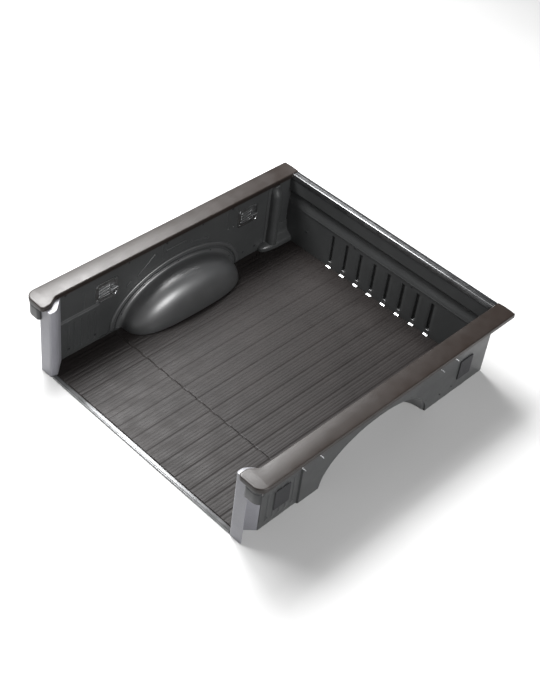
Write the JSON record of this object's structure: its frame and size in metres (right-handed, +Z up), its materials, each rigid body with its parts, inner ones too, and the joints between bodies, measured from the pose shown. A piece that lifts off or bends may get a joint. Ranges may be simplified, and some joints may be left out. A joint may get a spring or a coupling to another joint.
{
  "type": "truck bed liner",
  "caption": "Pickup bed liner kit: ribbed rubber floor mat, moulded walls, wheel well covers, bulkhead, rail caps and swinging tie-down rings.",
  "frame": {"origin": "centre of the footprint, on the underside of the floor mat", "axes": "+X to the vehicle's right, +Y towards the cab, +Z up; the tailgate opening is at -Y"},
  "size_m": [1.92, 2.12, 0.54],
  "materials": {
    "mat_rubber": "matte ribbed",
    "panel_plastic": "moulded, semi-gloss",
    "cover_plastic": "moulded, gloss",
    "post_plastic": "moulded, satin",
    "cap_plastic": "fine grained",
    "black_plastic": "satin",
    "foam": "closed-cell foam",
    "rail_metal": "brushed, satin",
    "plate_metal": "zinc-plated",
    "ring_metal": "polished"
  },
  "bodies": {
    "liner": {"floor_mat": "mat_rubber", "sill_trim": "rail_metal", "bulkhead_panel": "panel_plastic", "bulkhead_top_rail": "rail_metal", "bulkhead_rail_seal": "black_plastic", "front_edge_clips": "plate_metal", "bulkhead_foam_pads": "foam", "push_rivets": "black_plastic", "tie_plate_bolts": "plate_metal", "left_side_panel": "panel_plastic", "left_wheel_well_cover": "cover_plastic", "left_arch_trim": "cover_plastic", "left_rail_cap": "cap_plastic", "left_cap_end": "black_plastic", "left_cap_clips": "plate_metal", "left_corner_post": "panel_plastic", "left_corner_foot": "panel_plastic", "left_rear_post_cover": "post_plastic", "left_foam_pads": "foam", "left_front_tie_plate": "plate_metal", "left_front_tie_bracket": "plate_metal", "left_rear_tie_plate": "plate_metal", "left_rear_tie_bracket": "plate_metal", "right_side_panel": "panel_plastic", "right_wheel_well_cover": "cover_plastic", "right_arch_trim": "cover_plastic", "right_rail_cap": "cap_plastic", "right_cap_end": "black_plastic", "right_cap_clips": "plate_metal", "right_corner_post": "panel_plastic", "right_corner_foot": "panel_plastic", "right_rear_post_cover": "post_plastic", "right_foam_pads": "foam", "right_front_tie_plate": "plate_metal", "right_front_tie_bracket": "plate_metal", "right_rear_tie_plate": "plate_metal", "right_rear_tie_bracket": "plate_metal"},
    "left_front_tie_ring": {"left_front_tie_ring": "ring_metal"},
    "left_rear_tie_ring": {"left_rear_tie_ring": "ring_metal"},
    "right_front_tie_ring": {"right_front_tie_ring": "ring_metal"},
    "right_rear_tie_ring": {"right_rear_tie_ring": "ring_metal"}
  },
  "joints": [
    {"name": "left_front_ring_swing", "type": "hinge", "parent": "liner", "child": "left_front_tie_ring", "pos_m": [-0.832, 0.676, 0.363], "axis": [0, -1, 0], "range_deg": [-5, 165]},
    {"name": "left_rear_ring_swing", "type": "hinge", "parent": "liner", "child": "left_rear_tie_ring", "pos_m": [-0.832, -0.5, 0.363], "axis": [0, -1, 0], "range_deg": [-5, 165]},
    {"name": "right_front_ring_swing", "type": "hinge", "parent": "liner", "child": "right_front_tie_ring", "pos_m": [0.832, 0.676, 0.363], "axis": [0, 1, 0], "range_deg": [-5, 165]},
    {"name": "right_rear_ring_swing", "type": "hinge", "parent": "liner", "child": "right_rear_tie_ring", "pos_m": [0.832, -0.5, 0.363], "axis": [0, 1, 0], "range_deg": [-5, 165]}
  ]
}
